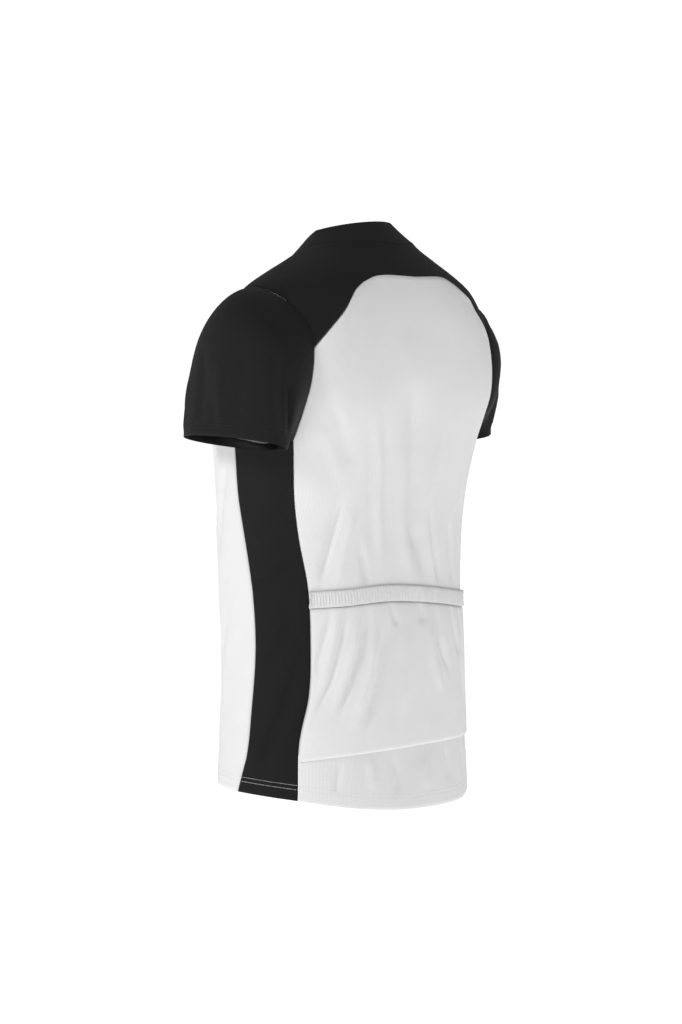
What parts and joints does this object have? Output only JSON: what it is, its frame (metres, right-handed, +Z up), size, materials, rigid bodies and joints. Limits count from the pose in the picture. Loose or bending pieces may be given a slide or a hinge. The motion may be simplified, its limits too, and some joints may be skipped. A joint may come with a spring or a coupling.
{
  "type": "short-sleeved cycling jersey",
  "caption": "Short-sleeved white and black cycling jersey in its worn, hollow form, with a standing collar, a back pocket under an elastic band and a zipped front.",
  "frame": {"origin": "between the wearer's shoulders, on the mid-plane, at the height of the neck seam at the sides", "axes": "+X the wearer's left, -Y the wearer's front, +Z up"},
  "size_m": [0.513, 0.2422, 0.7049],
  "materials": {
    "white_knit": "white polyester knit with a fine vertical rib, matt",
    "black_knit": "black polyester knit, matt with a soft sheen",
    "white_elastic": "white gathered casing over an elastic",
    "zip_tape": "white woven polyester tape",
    "zip_coil": "white nylon coil",
    "zip_metal": "satin nickel-plated die-cast zinc"
  },
  "bodies": {
    "jersey": {"back": "white_knit", "front_left": "white_knit", "front_right": "white_knit", "side_left": "black_knit", "side_right": "black_knit", "yoke": "black_knit", "sleeve_left": "black_knit", "sleeve_right": "black_knit", "collar": "black_knit", "pocket": "white_knit", "pocket_band": "white_elastic", "zip_tape_left": "zip_tape", "zip_tape_right": "zip_tape", "zip_chain": "zip_coil", "zip_slider": "zip_metal"},
    "pull_tab": {"zip_pull_tab": "zip_metal"}
  },
  "joints": [
    {"name": "pull_tab_swing", "type": "hinge", "parent": "jersey", "child": "pull_tab", "pos_m": [0, -0.05408, -0.0207], "axis": [-1, 0, 0], "range_deg": [0, 150]}
  ]
}
